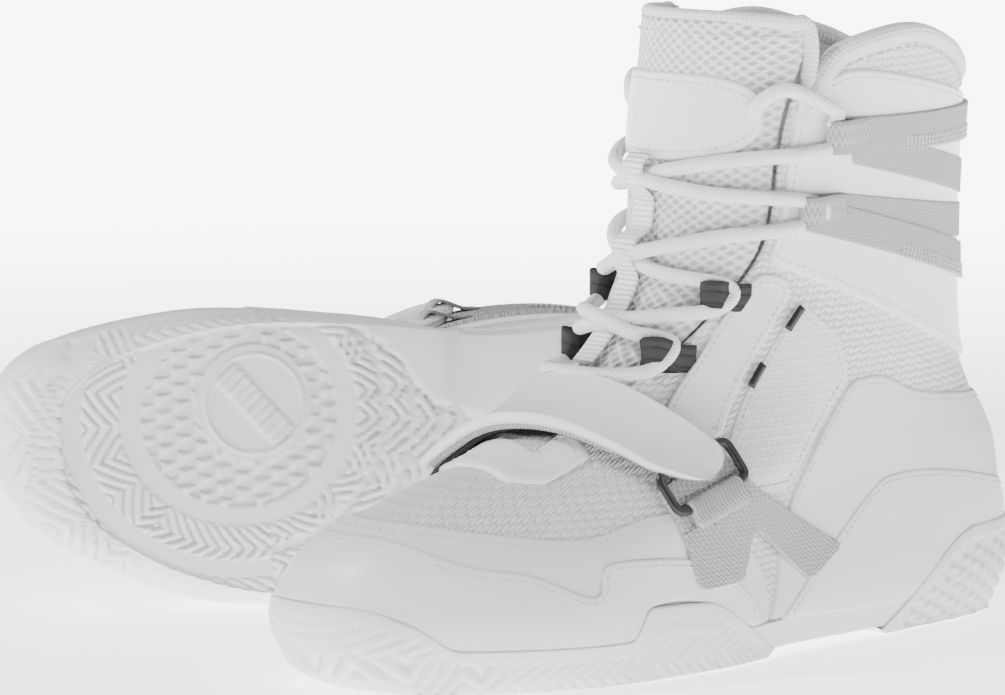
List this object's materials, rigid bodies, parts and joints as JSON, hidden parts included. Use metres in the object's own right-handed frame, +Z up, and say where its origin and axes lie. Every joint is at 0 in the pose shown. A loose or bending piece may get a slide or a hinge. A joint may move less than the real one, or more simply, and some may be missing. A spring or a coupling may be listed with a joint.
{
  "type": "boxing boots",
  "caption": "Pair of high boxing boots with a gum-style moulded sole, laced shaft, ankle webbing and a hook-and-loop strap over the instep.",
  "frame": {"origin": "centre of the pair's footprint, on the floor the boots rest on", "axes": "+Z up; the toe of the standing left boot points to -Y and its outer side to +X; the right boot lies on its outer side on the -X side"},
  "size_m": [0.3502, 0.366, 0.214],
  "materials": {
    "white_rubber": "matt moulded",
    "white_leather": "smooth, satin",
    "blush_suede": "brushed nap",
    "foam": "closed cell",
    "shank": "glass filled",
    "board": "fibre board",
    "lining": "brushed",
    "knit_mesh": "knitted",
    "open_mesh": "open spacer mesh",
    "ripstop": "translucent ripstop",
    "white_webbing": "ribbed",
    "black_webbing": "ribbed",
    "grey_webbing": "herringbone",
    "white_cord": "braided",
    "grey_elastic": "chevron weave",
    "black_plastic": "moulded"
  },
  "bodies": {
    "left_boot": {"left_ankle_cuff": "white_leather", "left_ankle_mesh": "knit_mesh", "left_ankle_webbing": "grey_webbing", "left_arch_shell": "white_leather", "left_collar_binding": "lining", "left_collar_padding": "lining", "left_eyestays": "white_leather", "left_forefoot_outsole": "white_rubber", "left_heel_counter": "white_leather", "left_heel_outsole": "white_rubber", "left_heel_panel": "blush_suede", "left_lace": "white_cord", "left_lace_keeper": "white_webbing", "left_lace_loops": "black_webbing", "left_lasting_board": "board", "left_midsole": "foam", "left_quarter_panels": "ripstop", "left_shank_plate": "shank", "left_sockliner": "lining", "left_stiffeners": "board", "left_strap_base": "black_webbing", "left_strap_elastic": "grey_elastic", "left_strap_ring": "black_plastic", "left_throat_piece": "white_leather", "left_toe_band": "blush_suede", "left_toe_cap": "white_leather", "left_tongue": "open_mesh", "left_tongue_patch": "white_leather", "left_vamp_mesh": "knit_mesh"},
    "right_boot": {"right_ankle_cuff": "white_leather", "right_ankle_mesh": "knit_mesh", "right_ankle_webbing": "grey_webbing", "right_arch_shell": "white_leather", "right_collar_binding": "lining", "right_collar_padding": "lining", "right_eyestays": "white_leather", "right_forefoot_outsole": "white_rubber", "right_heel_counter": "white_leather", "right_heel_outsole": "white_rubber", "right_heel_panel": "blush_suede", "right_lace": "white_cord", "right_lace_keeper": "white_webbing", "right_lace_loops": "black_webbing", "right_lasting_board": "board", "right_midsole": "foam", "right_quarter_panels": "ripstop", "right_shank_plate": "shank", "right_sockliner": "lining", "right_stiffeners": "board", "right_strap_base": "black_webbing", "right_strap_elastic": "grey_elastic", "right_strap_ring": "black_plastic", "right_throat_piece": "white_leather", "right_toe_band": "blush_suede", "right_toe_cap": "white_leather", "right_tongue": "open_mesh", "right_tongue_patch": "white_leather", "right_vamp_mesh": "knit_mesh"},
    "left_flap": {"left_strap_flap": "white_leather"},
    "right_flap": {"right_strap_flap": "white_leather"}
  },
  "joints": [
    {"name": "left_strap_fold", "type": "hinge", "parent": "left_boot", "child": "left_flap", "pos_m": [0.16542, -0.06051, 0.07107], "axis": [-0.0147, 0.9555, 0.2947], "range_deg": [0, 110]},
    {"name": "right_strap_fold", "type": "hinge", "parent": "right_boot", "child": "right_flap", "pos_m": [-0.06226, -0.01525, 0.00824], "axis": [-0.2256, -0.972, -0.0661], "range_deg": [0, 110]},
    {"name": "right_boot_lift", "type": "slide", "parent": "left_boot", "child": "right_boot", "axis": [0, 0, 1], "range_m": [0, 0.2]}
  ]
}
